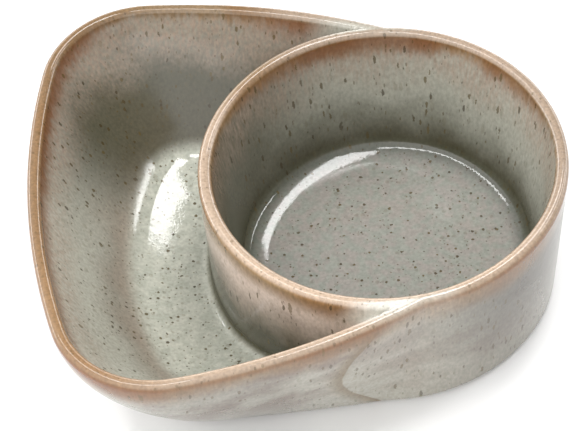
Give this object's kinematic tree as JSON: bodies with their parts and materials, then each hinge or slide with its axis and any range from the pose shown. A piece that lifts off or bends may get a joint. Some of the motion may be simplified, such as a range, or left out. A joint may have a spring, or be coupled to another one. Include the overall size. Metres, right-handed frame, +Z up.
{
  "type": "soup and cracker bowl",
  "caption": "Round soup cup standing in one end of a flared stoneware cracker tray, with rounded rims, hollow-curved floor corners and a bare foot ring.",
  "frame": {"origin": "under the middle of the bowl, on the surface that it stands on", "axes": "+X along the bowl towards the cup, +Y across it, +Z up"},
  "size_m": [0.2046, 0.1908, 0.066],
  "materials": {
    "glaze": "glossy grey-green reactive glaze, speckled, breaking tan at the rims",
    "bare_clay": "bare fired stoneware"
  },
  "bodies": {
    "root": {"cup_wall": "glaze", "cup_floor": "glaze", "cup_coil": "glaze", "tray_wall": "glaze", "tray_floor": "glaze", "tray_coil": "glaze", "skirt_coil": "glaze", "front_seam": "glaze", "back_seam": "glaze", "foot_ring": "bare_clay"}
  },
  "joints": []
}
